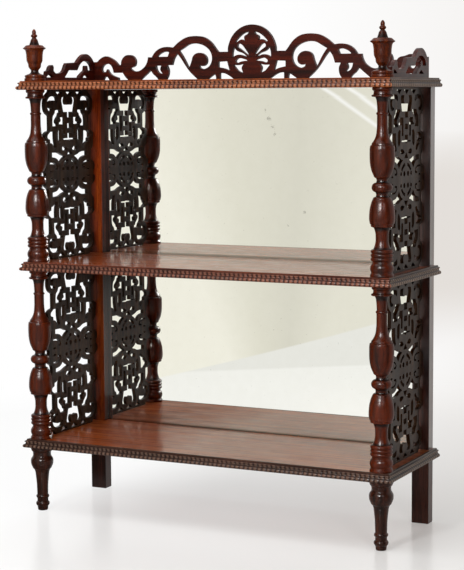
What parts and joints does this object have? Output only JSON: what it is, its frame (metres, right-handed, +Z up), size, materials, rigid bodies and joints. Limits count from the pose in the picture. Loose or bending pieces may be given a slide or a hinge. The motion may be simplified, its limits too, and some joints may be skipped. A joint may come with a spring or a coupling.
{
  "type": "etagere",
  "caption": "Three-tier etagere: moulded shelves on turned columns and square rear posts, mirror back, fretwork ends, pierced gallery and finials.",
  "frame": {"origin": "on the floor, under the centre of the case: midway between the side mouldings and midway between the front moulding and the back", "axes": "+Z up, +X to the viewer's right, -Y out of the open front"},
  "size_m": [0.914, 0.305, 1.122],
  "materials": {
    "shelf_veneer": "French-polished figured rosewood",
    "moulding_rosewood": "French-polished ripple moulding",
    "turned_rosewood": "French-polished turned rosewood",
    "post_rosewood": "French-polished rosewood",
    "fret_rosewood": "French-polished sawn fretwork",
    "silvered_glass": "old silvered looking-glass with foxing",
    "back_board_pine": "unpolished, toned with age",
    "dowel_beech": "plain",
    "iron_pin": "dull iron"
  },
  "bodies": {
    "root": {"bottom_shelf": "shelf_veneer", "bottom_moulding_front": "moulding_rosewood", "bottom_moulding_left": "moulding_rosewood", "bottom_moulding_right": "moulding_rosewood", "middle_shelf": "shelf_veneer", "middle_moulding_front": "moulding_rosewood", "middle_moulding_left": "moulding_rosewood", "middle_moulding_right": "moulding_rosewood", "top_shelf": "shelf_veneer", "top_moulding_front": "moulding_rosewood", "top_moulding_left": "moulding_rosewood", "top_moulding_right": "moulding_rosewood", "front_leg_left": "turned_rosewood", "finial_left": "turned_rosewood", "rear_leg_left": "post_rosewood", "side_gallery_left": "fret_rosewood", "lower_column_left": "turned_rosewood", "lower_post_left": "post_rosewood", "lower_fret_left": "fret_rosewood", "upper_column_left": "turned_rosewood", "upper_post_left": "post_rosewood", "upper_fret_left": "fret_rosewood", "front_leg_right": "turned_rosewood", "finial_right": "turned_rosewood", "rear_leg_right": "post_rosewood", "side_gallery_right": "fret_rosewood", "lower_column_right": "turned_rosewood", "lower_post_right": "post_rosewood", "lower_fret_right": "fret_rosewood", "upper_column_right": "turned_rosewood", "upper_post_right": "post_rosewood", "upper_fret_right": "fret_rosewood", "lower_mirror_glass": "silvered_glass", "lower_back_board": "back_board_pine", "upper_mirror_glass": "silvered_glass", "upper_back_board": "back_board_pine", "back_gallery": "fret_rosewood", "post_dowels": "dowel_beech", "gallery_dowels": "dowel_beech", "back_board_pins": "iron_pin"}
  },
  "joints": []
}
